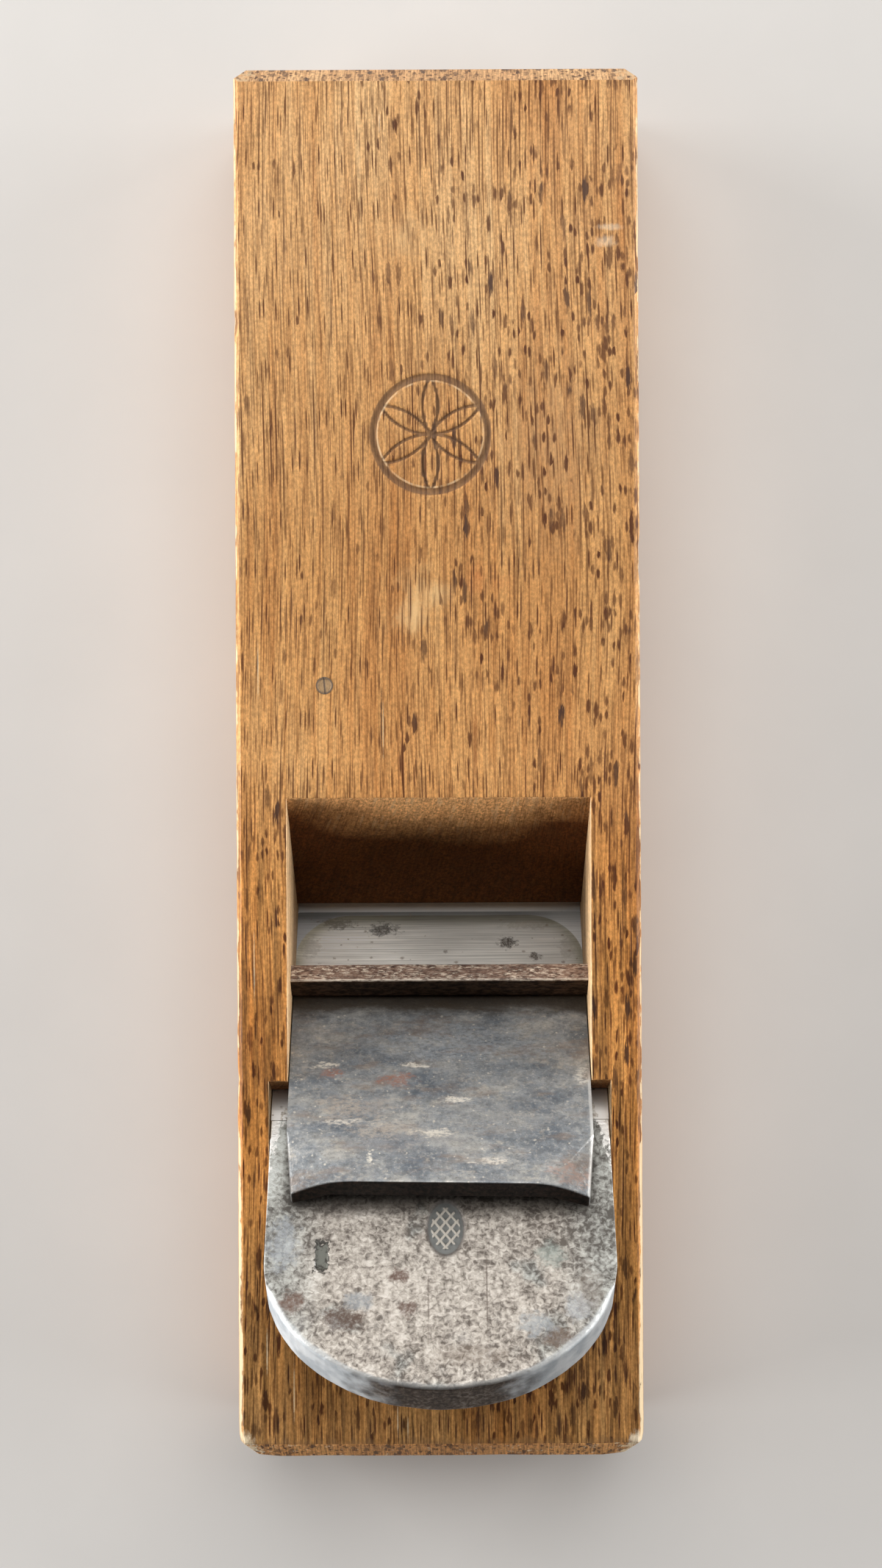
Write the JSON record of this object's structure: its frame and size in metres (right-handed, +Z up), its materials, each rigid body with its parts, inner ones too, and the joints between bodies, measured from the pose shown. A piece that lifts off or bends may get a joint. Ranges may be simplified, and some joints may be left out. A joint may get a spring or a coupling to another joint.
{
  "type": "japanese smoothing plane",
  "caption": "Wooden pull plane: an oak block with a sloped throat, a tapered laminated blade wedged in side grooves, a loose chipbreaker and a cross pin.",
  "frame": {"origin": "centre of the block's footprint, in the plane of the sole", "axes": "+X across the block to the right, +Y along the block towards the toe, +Z up from the sole"},
  "size_m": [0.08, 0.275, 0.0692],
  "materials": {
    "oak": "white oak, hand-worn and oiled, with fine pores and dark flecks",
    "peg_wood": "end grain, darkened",
    "pin_iron": "wrought iron, brown rust patina with pale scuffs",
    "blade_iron": "soft wrought iron, pitted and speckled grey-brown",
    "blade_steel": "hard steel, ground across and polished at the lands, with small rust spots",
    "chip_iron": "soft iron, blue-grey patina with brown scuffs",
    "chip_steel": "hard steel, ground"
  },
  "bodies": {
    "body": {"body_block": "oak", "body_peg": "peg_wood", "retaining_pin": "pin_iron"},
    "blade": {"blade_iron": "blade_iron", "blade_steel": "blade_steel"},
    "chipbreaker": {"chipbreaker_iron": "chip_iron", "chipbreaker_steel": "chip_steel"}
  },
  "joints": [
    {"name": "blade_slide", "type": "slide", "parent": "body", "child": "blade", "axis": [0, -0.788, 0.6157], "range_m": [-0.0015, 0.045]},
    {"name": "chipbreaker_slide", "type": "slide", "parent": "blade", "child": "chipbreaker", "axis": [0, -0.7716, 0.6361], "range_m": [-0.0135, 0.045]}
  ]
}
